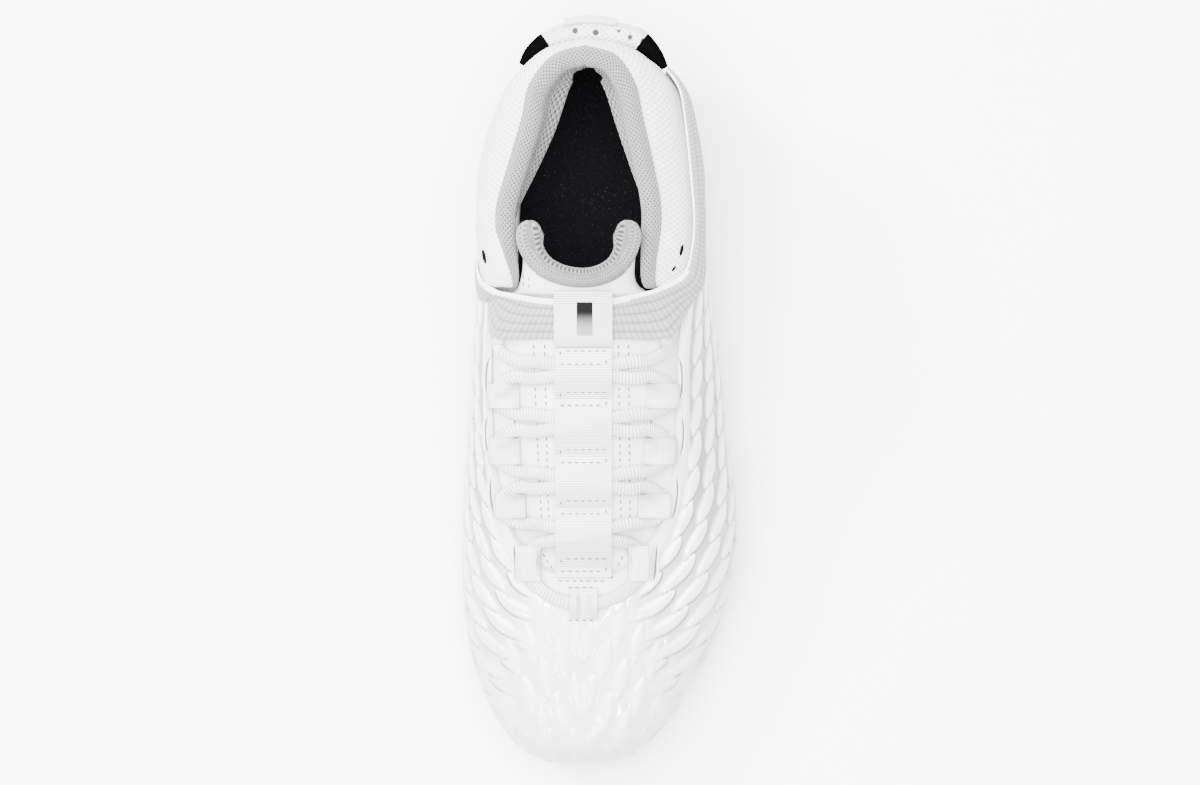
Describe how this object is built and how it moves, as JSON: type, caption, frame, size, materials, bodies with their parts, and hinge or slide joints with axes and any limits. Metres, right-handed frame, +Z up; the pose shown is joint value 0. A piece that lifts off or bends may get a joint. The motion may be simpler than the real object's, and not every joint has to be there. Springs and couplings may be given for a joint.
{
  "type": "american football cleat",
  "caption": "Left american football cleat, US men's 10: white moulded shell, knit collar, ankle strap over the laces, studded plate.",
  "frame": {"origin": "middle of the shoe's length and width, on the floor", "axes": "+Z up, +Y from the toe towards the heel, +X towards the outer side of the foot"},
  "size_m": [0.1106, 0.2986, 0.1293],
  "materials": {
    "plate": "satin",
    "shell": "glossy",
    "knit": "knitted",
    "tongue_knit": "knitted",
    "insole": "matte",
    "elastic": "ribbed",
    "webbing": "woven",
    "lace": "woven",
    "pull": "knitted"
  },
  "bodies": {
    "root": {"outsole": "plate", "upper": "shell", "collar": "knit", "tongue": "tongue_knit", "insole": "insole", "laces": "lace", "centre_strip": "webbing", "toe_lace_loop": "webbing", "ankle_strap": "elastic", "strap_keeper": "webbing", "heel_pull": "pull", "heel_tab": "webbing", "lace_loop_inner_1": "webbing", "lace_loop_inner_2": "webbing", "lace_loop_inner_3": "webbing", "lace_loop_inner_4": "webbing", "lace_loop_outer_1": "webbing", "lace_loop_outer_2": "webbing", "lace_loop_outer_3": "webbing", "lace_loop_outer_4": "webbing"}
  },
  "joints": []
}
